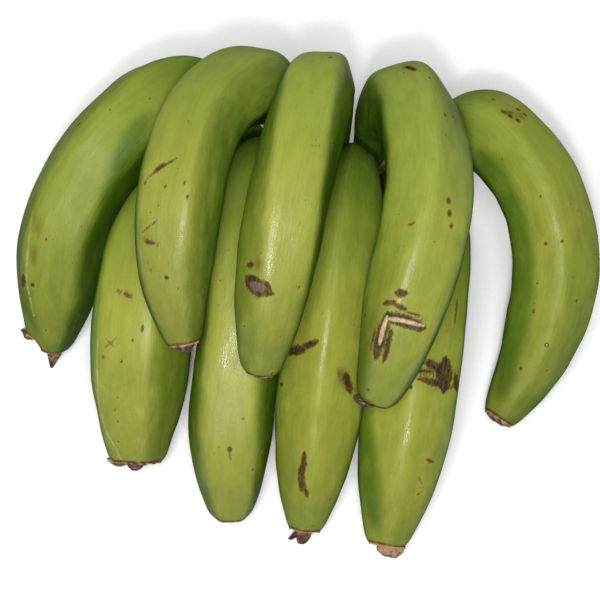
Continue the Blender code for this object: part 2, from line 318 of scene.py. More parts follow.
@dataclass(frozen=True)
class View:
    """The photograph's camera, looking at the point that the fruit guides are measured from."""

    elevation: float = 65.0
    distance: float = 735.0
    lens: float = 105.0
    sensor: float = 36.0
    picture: float = 600.0

    def towards_camera(self) -> np.ndarray:
        """Unit direction from the hand to the camera."""
        tilt = np.radians(self.elevation)
        return np.array([0.0, -np.cos(tilt), np.sin(tilt)])

    def picture_places(self, points: np.ndarray) -> tuple[np.ndarray, np.ndarray]:
        """Where points show in the photograph's frame, in pixels right and down.

        An offset from the line of sight, times the focal length in pixels, over the distance that
        is left to the camera, is the offset from the picture's middle.

        Args:
            points: Places in the guides' millimetres, with three axes last.

        Returns:
            The pixels, and how many millimetres each point lies towards the camera.
        """
        near = points @ self.towards_camera()
        upward = np.cross([1.0, 0.0, 0.0], -self.towards_camera())
        scale = self.picture * self.lens / self.sensor / (self.distance - near)
        middle = self.picture / 2.0
        return np.stack([middle + scale * points[..., 0], middle - scale * (points @ upward)], axis=-1), near


@dataclass(frozen=True)
class Spine:
    """A fruit's centre line with its tangent, side and top directions, ring by ring."""

    path: np.ndarray
    tangents: np.ndarray
    sides: np.ndarray
    tops: np.ndarray
    length: float

    @staticmethod
    def through(guides: np.ndarray, count: int) -> "Spine":
        """Smooth curve through the guides, straight up off the crown, at even steps.

        Each span is a cubic whose end slopes are the length-weighted means of the spans beside it.

        Args:
            guides: Points in millimetres.
            count: How many rings the spine has.

        Returns:
            The spine.
        """
        spans = np.linalg.norm(np.diff(guides, axis=0), axis=1)
        slopes = np.diff(guides, axis=0) / spans[:, None]
        weight = (spans[1:] / (spans[1:] + spans[:-1]))[:, None]
        ends = np.empty_like(guides)
        ends[1:-1] = slopes[:-1] * weight + slopes[1:] * (1.0 - weight)
        ends[0] = (0.0, 0.0, 1.0)
        ends[-1] = 1.5 * slopes[-1] - 0.5 * ends[-2]
        knots = np.concatenate(([0.0], np.cumsum(spans)))
        samples = 2000
        at = np.linspace(0.0, knots[-1], samples)
        i = np.clip(np.searchsorted(knots, at, side="right") - 1, 0, len(spans) - 1)
        span = spans[i][:, None]
        s = ((at - knots[i]) / spans[i])[:, None]
        dense = (2 * s**3 - 3 * s**2 + 1) * guides[i] + (s**3 - 2 * s**2 + s) * span * ends[i]
        dense += (3 * s**2 - 2 * s**3) * guides[i + 1] + (s**3 - s**2) * span * ends[i + 1]
        run = np.concatenate(([0.0], np.cumsum(np.linalg.norm(np.diff(dense, axis=0), axis=1))))
        even = np.linspace(0.0, run[-1], count)
        path = np.stack([np.interp(even, run, dense[:, axis]) for axis in range(3)], axis=1)
        tangents = np.gradient(path, axis=0)
        tangents[0] = (0.0, 0.0, 1.0)
        tangents /= np.linalg.norm(tangents, axis=1)[:, None]
        sides = np.empty_like(path)
        side = np.array([1.0, 0.0, 0.0])
        for ring, tangent in enumerate(tangents):
            side = side - tangent * (side @ tangent)
            side /= np.linalg.norm(side)
            sides[ring] = side
        return Spine(path, tangents, sides, np.cross(tangents, sides), float(run[-1]))


def grid_mesh(name: str, points: np.ndarray) -> bpy.types.Mesh:
    """Closed mesh over a grid of rings, each end shut by a fan to its ring's middle.

    Args:
        name: Name of the mesh.
        points: Places in millimetres, as rings, points round a ring, and three axes.

    Returns:
        The mesh, in metres, with the ring points first and the two middles last.
    """
    rings, around = points.shape[:2]
    index = np.arange(rings * around).reshape(rings, around)
    onward = np.roll(index, -1, axis=1)
    quads = np.stack([index[:-1], onward[:-1], onward[1:], index[1:]], axis=-1).reshape(-1, 4)
    first, last = rings * around, rings * around + 1
    start = np.stack([onward[0], index[0], np.full(around, first)], axis=-1)
    finish = np.stack([index[-1], onward[-1], np.full(around, last)], axis=-1)
    middles = np.stack([points[0].mean(axis=0), points[-1].mean(axis=0)])
    places = np.concatenate([points.reshape(-1, 3), middles]) * MM
    mesh = bpy.data.meshes.new(name)
    mesh.from_pydata(places.tolist(), [], quads.tolist() + start.tolist() + finish.tolist())
    mesh.update()
    mesh.shade_smooth()
    return mesh


def add_values(mesh: bpy.types.Mesh, name: str, grid: np.ndarray) -> None:
    """Put a number or a vector for each grid point on the mesh, with each end's mean on its middle.

    Args:
        mesh: A mesh from grid_mesh.
        name: Name of the attribute.
        grid: Numbers as rings and points round a ring, or vectors with three axes last.
    """
    is_vector = grid.ndim == 3
    middles = np.stack([grid[0].mean(axis=0), grid[-1].mean(axis=0)])
    values = np.concatenate([grid.reshape(-1, *grid.shape[2:]), middles])
    layer = mesh.attributes.new(name, "FLOAT_VECTOR" if is_vector else "FLOAT", "POINT")
    layer.data.foreach_set("vector" if is_vector else "value", values.astype(np.float32).ravel())


def shown(name: str, data: bpy.types.ID) -> bpy.types.Object:
    """A new object over some data, linked to the scene."""
    item = bpy.data.objects.new(name, data)
    bpy.context.scene.collection.objects.link(item)
    return item


def joined(meshes: list[bpy.types.Mesh]) -> bpy.types.Object:
    """One object of several meshes, with their attributes kept."""
    parts = [shown("part", mesh) for mesh in meshes]
    with bpy.context.temp_override(active_object=parts[0], selected_editable_objects=parts):
        bpy.ops.object.join()
    return parts[0]


def add_piece(name: str, mesh: bpy.types.Mesh, material: bpy.types.Material, node: str) -> bpy.types.Object:
    """Show a mesh as a piece that rides on the hand and stands for one of its solids.

    Args:
        name: Name of the piece.
        mesh: Its mesh, in metres.
        material: Its finish.
        node: The solid that it replaces.

    Returns:
        The piece.
    """
    piece = shown(name, mesh)
    mesh.materials.append(material)
    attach(piece, "root")
    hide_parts(node)
    return piece


@dataclass
class FruitBody:
    """One fruit with its neck: a five-ridged skin swept along a curved spine.

    Fields named share, centre or blend are shares of the fruit's length, and short_from and short_blend
    are cosines. Radii, depths and lengths are in millimetres. The greater a power, the sharper the form.
    """

    name: str
    fruit: Fruit
    shift: np.ndarray
    rings: int = 270
    around: int = 170
    pedicel_radius: float = 6.8
    neck_share: float = 0.07
    round_power: float = 3.0
    body_power: float = 6.8
    girth: float = 0.995
    face_power: float = 14.0
    face_tone: float = 0.6
    angular_share: float = 0.26
    tip_share: float = 0.72
    tip_blend: float = 0.2
    twist_centre: float = 0.6
    ridge_share: float = 0.3
    ridge_power: int = 10
    lip_share: float = 0.025
    swell_depth: float = 0.22
    swell_length: float = 24.0
    dent_depth: float = 0.09
    dent_length: float = 8.0
    dent_stretch: tuple[float, float, float] = (1.0, 1.0, 0.6)
    dent_seed: int = 50
    inset: float = 0.16
    groove_depth: float = 0.08
    groove_count: float = 9.0
    groove_share: float = 0.2
    short_share: float = 0.14
    short_from: float = 0.1
    short_blend: float = 0.7
    closing_sizes: tuple[float, ...] = (0.93, 0.8, 0.5, 0.15)
    closing_bulge: float = 0.25
    view: View = View()
    close_pixels: float = 3.0
    front_depth: float = 5.0
    far_outside: float = -4.0
    thin_end: float = 0.4
    green_share: float = 0.1
    ripe_blend: float = 0.42
    spine: Spine = field(init=False)

    def __post_init__(self) -> None:
        """Lay the spine through the guides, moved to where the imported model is."""
        self.spine = Spine.through(np.array(self.fruit.guides, float) + self.shift, self.rings)

    def share(self) -> np.ndarray:
        """Share of the spine's length at each ring, from nought at the crown to one at the tip."""
        return np.linspace(0.0, 1.0, self.rings)

    def angle(self) -> np.ndarray:
        """Angle round the fruit in radians: nought to the right, a quarter turn on top."""
        return round_circle(self.around)

    def ring_radius(self) -> np.ndarray:
        """Radius over the ridges: slim neck, full body, and a squared taper to the blunt end."""
        t = self.share()
        swell = ease((t - self.neck_share) / (self.fruit.full_share - self.neck_share))
        radius = self.pedicel_radius + (self.fruit.body_radius - self.pedicel_radius) * swell
        late = np.clip((t - self.fruit.taper_start) / (1.0 - self.fruit.taper_start), 0.0, 1.0)
        radius *= 1.0 - (1.0 - self.fruit.end_radius / self.fruit.body_radius) * late**2
        lip = np.clip((t - (1.0 - self.lip_share)) / self.lip_share, 0.0, 1.0)
        return radius * self.girth * (1.0 - self.fruit.lip * lip**3)

    def section(self) -> np.ndarray:
        """Radius of a rounded pentagon at each ring and angle, one over the ridges.

        It is the p-norm of the cosines to the five face directions, raised to minus one, with p
        near three for a round neck and larger for flat faces with tight ridges.
        """
        t = self.share()
        power = self.round_power + (self.body_power - self.round_power) * ease(t / self.angular_share)
        power += (self.fruit.tip_power - self.body_power) * ease((t - self.tip_share) / self.tip_blend)
        power = power[:, None, None]
        cosines = np.maximum(np.cos(self.angle()[None, :, None] - self.faces()), 0.0)
        radius = (cosines**power).sum(axis=2) ** (-1.0 / power[..., 0])
        over_ridge = 1.0 / (2.0 ** (1.0 / power[..., 0]) * np.cos(np.pi / 5.0))
        return radius / over_ridge

    def ridge_angle(self) -> np.ndarray:
        """Angle of the first ridge at each ring in radians, with the slow twist that each fruit has."""
        degrees = self.fruit.ridge_degrees + self.fruit.ridge_twist * (self.share() - self.twist_centre)
        return np.radians(degrees)

    def faces(self) -> np.ndarray:
        """Angles of the five flat faces at each ring in radians, with the faces last."""
        return self.ridge_angle()[:, None, None] + np.radians(36.0 + 72.0 * np.arange(5))

    def facing_up(self) -> np.ndarray:
        """How far the skin faces up at each ring and angle, from nought to one, partly face by face.

        A face counts at an angle by a high power of the cosine between the two, so the tone
        changes over a ridge and holds across a face. The skin's finish paints light and shade by it:
        olive on faces turned up, darker greens on faces turned away.
        """
        all_round = (1.0 + self.across()[..., 2]) / 2.0
        faces = self.faces()
        weight = np.maximum(np.cos(self.angle()[None, :, None] - faces), 0.0) ** self.face_power
        sides, tops = self.spine.sides[:, 2, None, None], self.spine.tops[:, 2, None, None]
        up = (1.0 + np.cos(faces) * sides + np.sin(faces) * tops) / 2.0
        by_face = (up * weight).sum(axis=2) / weight.sum(axis=2)
        angular = ease(self.share() / self.ridge_share)[:, None]
        return all_round + (by_face - all_round) * self.face_tone * angular

    def ridge(self) -> np.ndarray:
        """One on a ridge and nought between two: a high power of half the cosine of five turns."""
        wave = (1.0 + np.cos(5.0 * (self.angle()[None] - self.ridge_angle()[:, None]))) / 2.0
        return ease(self.share() / self.ridge_share)[:, None] * wave**self.ridge_power

    def rod(self) -> np.ndarray:
        """Each skin point as it would lie on a straight fruit along Z, for patterns that follow it."""
        radius = self.ring_radius()[:, None] * self.section()
        angle = self.angle()[None]
        along = np.broadcast_to(self.share()[:, None] * self.spine.length, radius.shape)
        return np.stack([radius * np.cos(angle), radius * np.sin(angle), along], axis=-1)

    def skin(self) -> np.ndarray:
        """Skin points in millimetres: the section swept along the spine, gently uneven, flat on the table.

        The unevenness is long swells and short dents, with fine grooves along the neck.
        """
        rod = self.rod()
        seed = self.fruit.seed
        uneven = self.swell_depth * wavy(rod, self.swell_length, seed)
        uneven += self.dent_depth * wavy(rod * self.dent_stretch, self.dent_length, seed + self.dent_seed)
        groove = np.cos(self.groove_count * self.angle() + seed)[None]
        groove = groove * (1.0 - ease(self.share() / self.groove_share))[:, None]
        radius = np.linalg.norm(rod[..., :2], axis=-1) + uneven - self.inset + self.groove_depth * groove
        points = self.spine.path[:, None] + radius[..., None] * self.across()
        points -= self.spine.tangents[:, None] * self.shortfall()[..., None]
        points[..., 2] = np.maximum(points[..., 2], 0.0)
        return points

    def across(self) -> np.ndarray:
        """Unit direction out of the spine at each ring and angle."""
        angle = self.angle()
        across = np.cos(angle)[None, :, None] * self.spine.sides[:, None]
        return across + np.sin(angle)[None, :, None] * self.spine.tops[:, None]

    def shortfall(self) -> np.ndarray:
        """Millimetres that the skin stops short on its short side, eased in over the last of the fruit."""
        degrees, amount = self.fruit.short_side
        towards = np.cos(self.angle() - np.radians(degrees))
        side = ease((towards - self.short_from) / self.short_blend)
        late = ease((self.share() - (1.0 - self.short_share)) / self.short_share)
        return amount * late[:, None] * side[None]

    def end_rings(self, sizes: np.ndarray, heights: np.ndarray) -> np.ndarray:
        """Copies of the last skin ring, drawn in towards its middle and lifted off the fruit's end.

        Args:
            sizes: Size of each ring, where one is the last skin ring's.
            heights: Millimetres that each ring is lifted.

        Returns:
            Points as rings, points round a ring, and three axes.
        """
        last = self.skin()[-1]
        centre = last.mean(axis=0)
        rings = centre + (last - centre)[None] * sizes[:, None, None]
        return rings + self.spine.tangents[-1] * heights[:, None, None]

    def capped(self) -> np.ndarray:
        """The skin with a few more rings that close its end almost flat."""
        sizes = np.array(self.closing_sizes)
        return np.concatenate([self.skin(), self.end_rings(sizes, self.closing_bulge * (1.0 - sizes**2))])

    def strokes(self) -> list[tuple[Mark, np.ndarray]]:
        """The fruit's marks, each with its points as radians round the skin and millimetres along it."""
        seen, near = self.view.picture_places(self.skin() - self.shift)
        return [(mark, np.array([self.skin_place(np.array(point), seen, near) for point in mark.points]))
                for mark in MARKS[self.name]]

    def skin_place(self, point: np.ndarray, seen: np.ndarray, near: np.ndarray) -> tuple[float, float]:
        """The place on the front of the skin that shows nearest to a point of the photograph.

        Args:
            point: Pixels right and down.
            seen: Pixels at which each skin point shows.
            near: Millimetres that each skin point lies towards the camera.

        Returns:
            Radians round the skin, and millimetres along it.
        """
        miss = np.linalg.norm(seen - point, axis=-1)
        least = miss.min()
        close = miss < (self.close_pixels if least < self.close_pixels else least + self.close_pixels / 2.0)
        front = close & (near > near[close].max() - self.front_depth)
        ring, step = np.unravel_index(np.argmin(np.where(front, miss, np.inf)), miss.shape)
        return float(self.angle()[step]), float(self.share()[ring]) * self.spine.length

    def mark_field(self, kind: MarkKind, strokes: list[tuple[Mark, np.ndarray]]) -> np.ndarray:
        """Millimetres inside the nearest stroke of a kind of mark: half its width less the distance to it.

        A leg of a stroke is straight on the unrolled skin, and the distance is to its nearest point. A
        stroke narrows towards its ends as the root of its share done times its share left.

        Args:
            kind: The kind of mark.
            strokes: The fruit's marks, as strokes gives them.

        Returns:
            A value at each ring and angle, which is far_outside where no stroke is near.
        """
        radius = self.ring_radius()[:, None]
        along = self.share()[:, None] * self.spine.length
        inside = np.full((self.rings, self.around), self.far_outside)
        for mark, places in strokes:
            if mark.kind is not kind:
                continue
            legs = max(len(places) - 1, 1)
            for number, (start, end) in enumerate(zip(places, places[1:] if len(places) > 1 else places)):
                span = (end[0] - start[0] + np.pi) % (2.0 * np.pi) - np.pi
                turn = (self.angle() - start[0] - span / 2.0 + np.pi) % (2.0 * np.pi) - np.pi
                half = span / 2.0 * radius
                x, y = turn[None] * radius, along - (start[1] + end[1]) / 2.0
                rise = (end[1] - start[1]) / 2.0
                reach = half**2 + rise**2 + 1e-9
                s = np.clip((x * half + y * rise) / reach, -1.0, 1.0)
                distance = np.hypot(x - s * half, y - s * rise)
                done = (number + (s + 1.0) / 2.0) / legs
                bulge = np.sqrt(4.0 * done * (1.0 - done)) if len(mark.points) > 1 else 1.0
                taper = self.thin_end + (1.0 - self.thin_end) * bulge
                inside = np.maximum(inside, mark.width / 2.0 * taper - distance)
        return inside

    def build(self, material: bpy.types.Material) -> bpy.types.Object:
        """Make the fruit's piece with the values that its finish reads.

        Args:
            material: The skin's finish.

        Returns:
            The piece.
        """
        mesh = grid_mesh("fruit_" + self.name, self.capped())
        share = np.broadcast_to(self.share()[:, None], (self.rings, self.around))
        strokes = self.strokes()
        centre, spread, strength = self.fruit.shine
        grids = {kind.value: self.mark_field(kind, strokes) for kind in MarkKind}
        grids |= {
            "rod": self.rod() * MM,
            "share": share,
            "ridge": self.ridge(),
            "top": self.facing_up(),
            "tip_distance": (1.0 - share) * self.spine.length,
            "ripeness": self.fruit.ripeness * ease((share - self.fruit.ripe_from) / self.ripe_blend),
            "wax": np.full(share.shape, self.fruit.wax),
            # Painted light and shade, fruit by fruit
            "painted_light_and_shade": np.full(share.shape, self.fruit.painted_light_and_shade),
            # Darker green toward the neck: partly its own colour, partly painted shade
            "middle": ease((share - self.green_share) / (self.fruit.neck_green_and_shade_end - self.green_share)),
            "shine": strength * np.exp(-((share - centre) / spread) ** 2),
        }
        for name, grid in grids.items():
            end = np.repeat(grid[-1:], len(self.closing_sizes), axis=0)
            add_values(mesh, name, np.concatenate([grid, end]))
        mesh.set_sharp_from_angle(angle=np.radians(55.0))
        return add_piece("fruit_" + self.name, mesh, material, "finger_" + self.name)


@dataclass
class FlowerEndPiece:
    """The dried remains of a flower: a thin scar pad over the fruit's end, and its stubs."""

    body: FruitBody
    around: int = 56
    steps: int = 26
    roughness: float = 0.10
    table_gap: float = 0.15
    rag_length: float = 3.2
    rag_depth: float = 0.9
    rag_height: float = 0.3
    rag_span: float = 0.5
    knob_length: float = 4.0
    knob_rise: float = 2.6
    knob_lift: float = 1.2
    folds: float = 7.0
    fold_depth: float = 0.5
    sunk: float = 1.2
    foot_spread: float = 1.15
    crease_degrees: float = 70.0
    pad_rings: tuple[tuple[float, float], ...] = (
        (0.55, 0.30), (0.90, 0.15), (0.975, 0.12), (0.985, 0.50), (0.95, 1.0), (0.86, 0.95), (0.70, 0.75),
        (0.50, 0.70), (0.25, 0.70))

    def pad(self) -> np.ndarray:
        """Rings of the thin scar over the fruit's whole end, with a raised, uneven rim."""
        sizes, heights = np.array(self.pad_rings).T
        heights = heights * self.body.fruit.pad_height
        rings = self.body.end_rings(sizes, heights)
        on_rim = np.clip(heights - self.rag_height, 0.0, self.rag_span)[:, None]
        ragged = wavy(rings, self.rag_length, self.body.fruit.seed) * on_rim
        rings += self.body.spine.tangents[-1] * (self.rag_depth * ragged)[..., None]
        rings[..., 2] = np.maximum(rings[..., 2], self.table_gap)
        return rings

    def stub(self, stub: Stub, seed: int) -> np.ndarray:
        """Rings of one dried stub, with folds along it and a knobbly skin.

        Args:
            stub: Its profile, lean and place.
            seed: Start of the random draw.

        Returns:
            Points as rings, points round a ring, and three axes.
        """
        spine = self.body.spine
        first_height, first_radius = stub.profile[0]
        sunk_foot = (first_height - self.sunk, first_radius * self.foot_spread)
        profile = self.fine((sunk_foot,) + stub.profile)
        angle = round_circle(self.around)
        height, radius = profile[:, 0], profile[:, 1]
        spot = np.stack(np.broadcast_arrays(np.cos(angle)[None] * self.knob_length,
                                            np.sin(angle)[None] * self.knob_length, height[:, None]), axis=-1)
        folded = self.fold_depth * np.sin(self.folds * angle + seed)[None]
        uneven = 1.0 + self.roughness * (wavy(spot, self.knob_length, seed) + folded)
        spread = radius[:, None] * uneven
        lifted = self.roughness * self.knob_lift * wavy(spot, self.knob_rise, seed + 7)
        rise = height[:, None] + lifted
        spoke = np.cos(angle)[:, None] * spine.sides[-1] + np.sin(angle)[:, None] * spine.tops[-1]
        slant = stub.lean[0] * spine.sides[-1] + stub.lean[1] * spine.tops[-1]
        foot = spine.path[-1] + stub.place[0] * spine.sides[-1] + stub.place[1] * spine.tops[-1]
        points = foot + spread[..., None] * spoke[None]
        points = points + rise[..., None] * spine.tangents[-1] + height[:, None, None] * slant
        points[..., 2] = np.maximum(points[..., 2], self.table_gap)
        return points

    def fine(self, profile: tuple[tuple[float, float], ...]) -> np.ndarray:
        """The profile at even steps, with its corners rounded by a running mean of three."""
        corners = np.array(profile, float)
        run = np.concatenate(([0.0], np.cumsum(np.linalg.norm(np.diff(corners, axis=0), axis=1))))
        at = np.linspace(0.0, run[-1], self.steps)
        smooth = np.stack([np.interp(at, run, corners[:, 0]), np.interp(at, run, corners[:, 1])], axis=1)
        smooth[1:-1] = (smooth[:-2] + smooth[1:-1] + smooth[2:]) / 3.0
        return smooth

    def build(self, material: bpy.types.Material) -> bpy.types.Object:
        """Make the pad and its stubs as one piece.

        Args:
            material: The dried finish.

        Returns:
            The piece.
        """
        fruit = self.body.fruit
        shapes = [self.pad()]
        shapes += [self.stub(stub, fruit.seed * 10 + number) for number, stub in enumerate(fruit.stubs)]
        meshes = []
        for number, points in enumerate(shapes):
            mesh = grid_mesh("stub", points)
            height = np.linspace(0.0, 1.0, len(points))[:, None] * np.ones(points.shape[1])
            add_values(mesh, "height", height * (number > 0))
            add_values(mesh, "tan", np.full(points.shape[:2], fruit.pad_tan))
            meshes.append(mesh)
        name = "dried_" + self.body.name
        whole = joined(meshes)
        mesh = whole.data
        mesh.name = name
        bpy.data.objects.remove(whole)
        mesh.set_sharp_from_angle(angle=np.radians(self.crease_degrees))
        return add_piece(name, mesh, material, "flower_end_" + self.body.name)


@dataclass
class Crown:
    """The cushion that the necks grow from, blended into their pedicels."""

    shift: np.ndarray
    half_length: float = 42.6
    half_depth: float = 20.6
    profile: tuple[tuple[float, float], ...] = (
        (-2.0, 0.95), (0.0, 0.955), (2.0, 0.98), (6.0, 1.0), (10.0, 0.96), (12.2, 0.90), (13.0, 0.82))
    squareness: float = 2.6
    around: int = 96
    foot_bottom: float = 4.0
    foot_over: float = 1.2
    foot_radius: float = 7.25
    foot_flare: float = 3.6
    foot_rings: int = 7
    foot_around: int = 40
    voxel: float = 0.9
    soften_factor: float = 0.5
    soften_times: int = 12
    crease_degrees: float = 50.0
    seed: int = 31
    unevenness: float = 0.35
    uneven_length: float = 6.0
    uneven_from: float = 4.0
    side_top: float = 11.0
    draw_in: float = 0.3
    neck_reach: float = 8.2
    neck_rise: float = 0.05

    def cushion(self) -> np.ndarray:
        """Rings of a squared oval: cosine and sine raised to two over the squareness, sized by height."""
        angle = round_circle(self.around)
        power = 2.0 / self.squareness
        x = np.sign(np.cos(angle)) * np.abs(np.cos(angle)) ** power
        y = np.sign(np.sin(angle)) * np.abs(np.sin(angle)) ** power
        rings = []
        for height, size in self.profile:
            inset = (1.0 - size) * self.half_depth
            spread_x = CROWN_CENTRE[0] + x * (self.half_length - inset)
            spread_y = CROWN_CENTRE[1] + y * (self.half_depth - inset)
            rings.append(np.stack([spread_x, spread_y, np.full(self.around, height)], axis=1))
        return np.array(rings) + self.shift

    def pedicel(self, root: tuple[float, float, float]) -> np.ndarray:
        """Rings of a flared foot under one neck, wide in the cushion and the neck's size on top."""
        angle = round_circle(self.foot_around)
        rings = []
        for share in np.linspace(0.0, 1.0, self.foot_rings):
            height = self.foot_bottom + (root[2] + self.foot_over - self.foot_bottom) * share
            radius = self.foot_radius + self.foot_flare * (1.0 - share) ** 2
            rings.append(np.stack([root[0] + radius * np.cos(angle), root[1] + radius * np.sin(angle),
                                   np.full(self.foot_around, height)], axis=1))
        return np.array(rings) + self.shift

    def build(self, material: bpy.types.Material) -> bpy.types.Object:
        """Melt cushion and feet into one skin, cut it flat on the table and at each neck.

        Args:
            material: The crown's finish.

        Returns:
            The piece.
        """
        meshes = [grid_mesh("cushion", self.cushion())]
        meshes += [grid_mesh("foot", self.pedicel(fruit.guides[0])) for fruit in FRUITS.values()]
        blank = joined(meshes)
        melt = blank.modifiers.new("melt", "REMESH")
        melt.mode = "VOXEL"
        melt.voxel_size = self.voxel * MM
        soften = blank.modifiers.new("soften", "SMOOTH")
        soften.factor = self.soften_factor
        soften.iterations = self.soften_times
        graph = bpy.context.evaluated_depsgraph_get()
        mesh = bpy.data.meshes.new_from_object(blank.evaluated_get(graph))
        bpy.data.objects.remove(blank)
        mesh.name = "crown_skin"
        self.settle(mesh)
        return add_piece("crown_skin", mesh, material, "crown")

    def settle(self, mesh: bpy.types.Mesh) -> None:
        """Flatten the cut face on the table and the feet's tops under the necks, and roughen the sides."""
        places = np.empty(len(mesh.vertices) * 3, dtype=np.float32)
        mesh.vertices.foreach_get("co", places)
        places = places.reshape(-1, 3).astype(float) / MM
        lumps = wavy(places * (1.0, 1.0, 0.5), self.uneven_length, self.seed)
        grown = self.unevenness * lumps * ease(places[:, 2] / self.uneven_from)
        middle = np.array([CROWN_CENTRE[0], CROWN_CENTRE[1], 0.0]) + self.shift
        outward = places - middle
        outward[:, 2] = 0.0
        outward /= np.linalg.norm(outward, axis=1)[:, None] + 1e-6
        on_side = places[:, 2] < self.side_top
        places += outward * (grown * on_side - self.draw_in)[:, None]
        places[:, 2] = np.maximum(places[:, 2], 0.0)
        for fruit in FRUITS.values():
            root = np.array(fruit.guides[0]) + self.shift
            near = np.hypot(places[:, 0] - root[0], places[:, 1] - root[1]) < self.neck_reach
            places[near, 2] = np.minimum(places[near, 2], root[2] + self.neck_rise)
        mesh.vertices.foreach_set("co", (places * MM).astype(np.float32).ravel())
        mesh.update()
        mesh.shade_smooth()
        mesh.set_sharp_from_angle(angle=np.radians(self.crease_degrees))


Socket = bpy.types.NodeSocket


@dataclass(frozen=True)
class Grain:
    """A noise pattern: its scale, its octaves, its roughness, and how drawn out it is on the third axis.

    A scale may be a socket too, and an along of one leaves the pattern as it is.
    """

    scale: object
    detail: float = 3.0
    rough: float = 0.5
    along: float = 1.0


@dataclass(frozen=True)
class Flecks:
    """Scattered flecks: scale and size, the share of places left without one, and how strongly they show."""

    scale: float
    size: float
    rarity: float
    strength: float


class Nodes:
    """A small helper that adds shader nodes to one tree and wires them by name."""

    def __init__(self, tree: bpy.types.NodeTree) -> None:
        """Keep the tree that the nodes go in."""
        self.tree = tree

    def add(self, kind: str, settings: dict | None = None, **inputs: object) -> bpy.types.Node:
        """Add a node, set its properties and feed its inputs.

        Args:
            kind: The node's Blender type.
            settings: Its properties by name.
            inputs: A value or an output socket for each input, by name with underscores for spaces.

        Returns:
            The node.
        """
        node = self.tree.nodes.new(kind)
        for name, value in (settings or {}).items():
            setattr(node, name, value)
        self.wire(node, **inputs)
        return node

    def wire(self, node: bpy.types.Node, **inputs: object) -> None:
        """Feed a node's inputs, each by its name with underscores for spaces."""
        for name, value in inputs.items():
            self.feed(node.inputs[name.replace("_", " ")], value)

    def feed(self, socket: Socket, value: object) -> None:
        """Wire an output socket to an input, or set the input's own value."""
        if isinstance(value, Socket):
            self.tree.links.new(value, socket)
        else:
            socket.default_value = value

    def value(self, name: str) -> Socket:
        """The number that the mesh holds under a name."""
        return self.add("ShaderNodeAttribute", {"attribute_name": name}).outputs["Fac"]

    def vector(self, name: str) -> Socket:
        """The vector that the mesh holds under a name."""
        return self.add("ShaderNodeAttribute", {"attribute_name": name}).outputs["Vector"]

    def place(self) -> Socket:
        """The shaded point's place in metres."""
        return self.add("ShaderNodeTexCoord").outputs["Object"]

    def math(self, operation: str, *values: object) -> Socket:
        """One Math node over numbers or sockets."""
        node = self.add("ShaderNodeMath", {"operation": operation})
        for socket, value in zip(node.inputs, values):
            self.feed(socket, value)
        return node.outputs[0]

    def times(self, first: object, second: object) -> Socket:
        """One number times another."""
        return self.math("MULTIPLY", first, second)

    def scaled(self, value: object, factor: object, added: object) -> Socket:
        """A number times a factor, and something added."""
        return self.math("MULTIPLY_ADD", value, factor, added)

    def larger(self, first: object, second: object) -> Socket:
        """The larger of two numbers."""
        return self.math("MAXIMUM", first, second)

    def step(self, value: object, low: float, high: float, out_low: float = 0.0,
             out_high: float = 1.0) -> Socket:
        """A smooth step of a value from one range to another."""
        settings = {"interpolation_type": "SMOOTHSTEP"}
        node = self.add("ShaderNodeMapRange", settings, Value=value, From_Min=low, From_Max=high,
                        To_Min=out_low, To_Max=out_high)
        return node.outputs["Result"]

    def mix(self, share: object, under: object, over: object, blend: str = "MIX") -> Socket:
        """One colour over another by a share."""
        node = self.add("ShaderNodeMix", {"data_type": "RGBA", "blend_type": blend})
        share_input, under_input, over_input = 0, 6, 7
        self.feed(node.inputs[share_input], share)
        self.feed(node.inputs[under_input], under)
        self.feed(node.inputs[over_input], over)
        return node.outputs[2]

    def noise(self, place: object, grain: Grain) -> Socket:
        """Blender's noise of a place, about 0.2 to 0.8, drawn out along the third axis by a small along."""
        if grain.along != 1.0:
            place = self.stretched(place, (1.0, 1.0, grain.along))
        return self.add("ShaderNodeTexNoise", None, Vector=place, Scale=grain.scale, Detail=grain.detail,
                        Roughness=grain.rough).outputs["Fac"]

    def stretched(self, vector: object, scale: tuple[float, float, float]) -> Socket:
        """A place scaled along each axis."""
        return self.add("ShaderNodeMapping", None, Vector=vector, Scale=scale).outputs["Vector"]

    def relief(self, height: object, distance: float, strength: float) -> Socket:
        """The normal of a surface raised by a height of nought to one, over a distance in metres."""
        bump = self.add("ShaderNodeBump", None, Height=height, Distance=distance, Strength=strength)
        return bump.outputs["Normal"]


def colour(red: float, green: float, blue: float) -> tuple[float, float, float, float]:
    """A colour of screen values from 0 to 255 as linear light: the standard screen curve undone."""
    screen = np.array([red, green, blue]) / 255.0
    light = np.where(screen <= 0.04045, screen / 12.92, ((screen + 0.055) / 1.055) ** 2.4)
    return (float(light[0]), float(light[1]), float(light[2]), 1.0)


def new_group(name: str, takes: tuple[str, ...], gives: tuple[str, ...]) -> tuple[Nodes, dict]:
    """A shader node group that takes a place and some numbers, and gives numbers.

    Args:
        name: The group's name.
        takes: Name of each number that it takes.
        gives: Name of each number that it gives.

    Returns:
        A helper for the group's nodes, and the sockets that hold what it takes, by name.
    """
    group = bpy.data.node_groups.new(name, "ShaderNodeTree")
    group.interface.new_socket("Place", in_out="INPUT", socket_type="NodeSocketVector")
    for socket in takes:
        group.interface.new_socket(socket, in_out="INPUT", socket_type="NodeSocketFloat")
    for socket in gives:
        group.interface.new_socket(socket, in_out="OUTPUT", socket_type="NodeSocketFloat")
    nodes = Nodes(group)
    source = nodes.add("NodeGroupInput")
    return nodes, {socket: source.outputs[socket] for socket in ("Place",) + takes}


